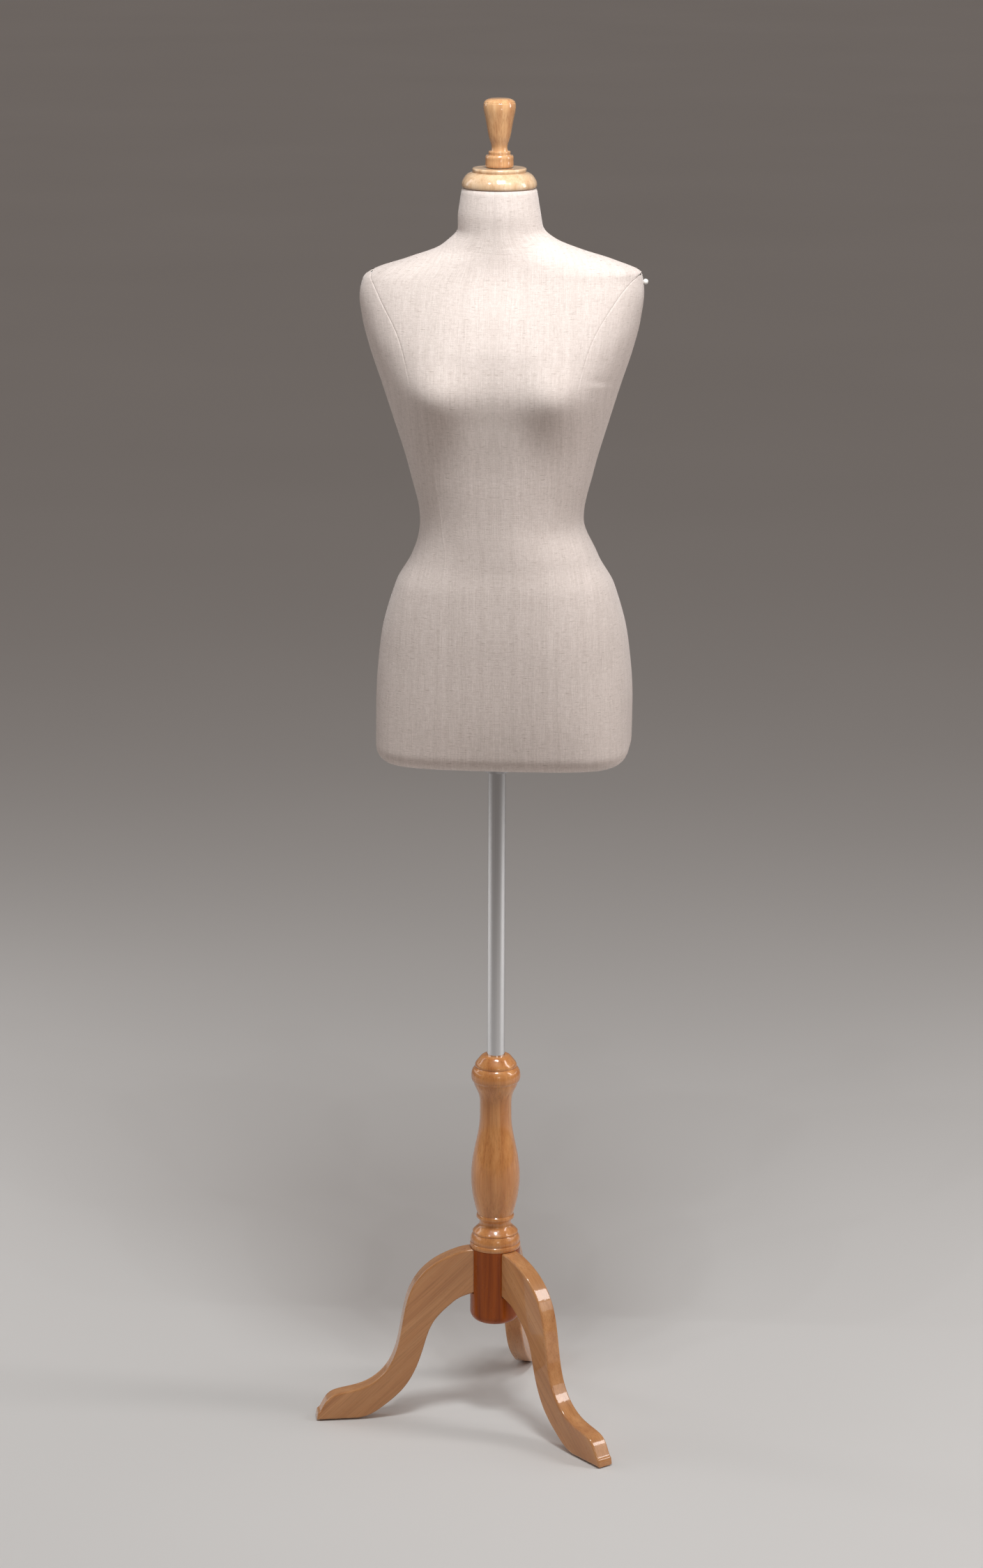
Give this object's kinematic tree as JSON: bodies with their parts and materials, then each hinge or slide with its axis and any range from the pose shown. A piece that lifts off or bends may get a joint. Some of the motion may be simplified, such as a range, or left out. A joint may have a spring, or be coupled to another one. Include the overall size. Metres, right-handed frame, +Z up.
{
  "type": "dress form",
  "caption": "Linen-covered tailor's dress form torso with a turned wooden finial, sliding and turning on a chrome pole in a turned column with curved tripod legs.",
  "frame": {"origin": "on the pole's axis at the floor, midway under the hub", "axes": "+Z up along the pole, the torso faces -Y at rest, +X towards the wearer's left"},
  "size_m": [0.4359, 0.436, 1.8],
  "materials": {
    "linen": "plain-woven natural linen with slubs, stretched over wadding",
    "wadding": "needled cotton wadding",
    "moulded_shell": "moulded rigid shell",
    "plywood": "birch plywood, unfinished",
    "pale_wood": "beech, unfinished",
    "light_varnished_wood": "turned hardwood, gloss varnish, pale honey",
    "honey_varnished_wood": "hardwood, gloss varnish, honey",
    "dark_varnished_wood": "turned hardwood, gloss varnish, red-brown",
    "chrome": "bright chrome plating",
    "steel": "zinc-plated steel",
    "brass": "machined brass",
    "black_plastic": "black moulded plastic",
    "nylon": "natural nylon",
    "pin_head": "white glass-like ball head",
    "felt": "brown pressed felt"
  },
  "bodies": {
    "stand": {"pole": "chrome", "pole_top_plug": "black_plastic", "pole_foot_insert": "steel", "column": "honey_varnished_wood", "hub": "dark_varnished_wood", "draw_bolt": "steel", "draw_washer": "steel", "leg_left": "honey_varnished_wood", "leg_right": "honey_varnished_wood", "leg_back": "honey_varnished_wood", "leg_dowels": "pale_wood", "foot_glide_left": "felt", "foot_glide_right": "felt", "foot_glide_back": "felt"},
    "pole_bush": {"pole_bush": "nylon"},
    "torso": {"linen_front_centre_left": "linen", "linen_front_centre_right": "linen", "linen_front_side_left": "linen", "linen_front_side_right": "linen", "linen_back_centre_left": "linen", "linen_back_centre_right": "linen", "linen_back_side_left": "linen", "linen_back_side_right": "linen", "linen_neck_band": "linen", "linen_underside": "linen", "wadding_layer": "wadding", "body_shell": "moulded_shell", "neck_block": "pale_wood", "neck_insert": "brass", "base_board": "plywood", "socket_flange": "steel", "socket_screws": "steel", "neck_cap": "light_varnished_wood", "shoulder_pin": "pin_head"},
    "finial_washer": {"finial_washer": "felt"},
    "finial": {"finial": "light_varnished_wood", "finial_stud": "steel"},
    "clamp_pad": {"clamp_pad": "nylon"},
    "clamp_screw": {"clamp_screw": "steel", "clamp_knob": "black_plastic"}
  },
  "joints": [
    {"name": "torso_height", "type": "slide", "parent": "stand", "child": "pole_bush", "axis": [0, 0, 1], "range_m": [-0.38, 0.03]},
    {"name": "torso_swivel", "type": "hinge", "parent": "pole_bush", "child": "torso", "pos_m": [0, 0, 0.95], "axis": [0, 0, 1], "continuous": true},
    {"name": "finial_lift", "type": "slide", "parent": "torso", "child": "finial_washer", "axis": [0, 0, 1], "range_m": [0, 0.01]},
    {"name": "finial_turn", "type": "hinge", "parent": "finial_washer", "child": "finial", "pos_m": [0, 0, 1.712], "axis": [0, 0, 1], "range_deg": [0, 2880]},
    {"name": "clamp_travel", "type": "slide", "parent": "torso", "child": "clamp_pad", "axis": [0, 1, 0], "range_m": [0, 0.0025]},
    {"name": "clamp_turn", "type": "hinge", "parent": "clamp_pad", "child": "clamp_screw", "pos_m": [0, 0.02, 0.92], "axis": [0, 1, 0], "range_deg": [0, 720]}
  ],
  "couplings": [
    {"joint": "finial_lift", "follows": "finial_turn", "m_per_rad": 0.00019894},
    {"joint": "clamp_travel", "follows": "clamp_turn", "m_per_rad": 0.00019894}
  ]
}
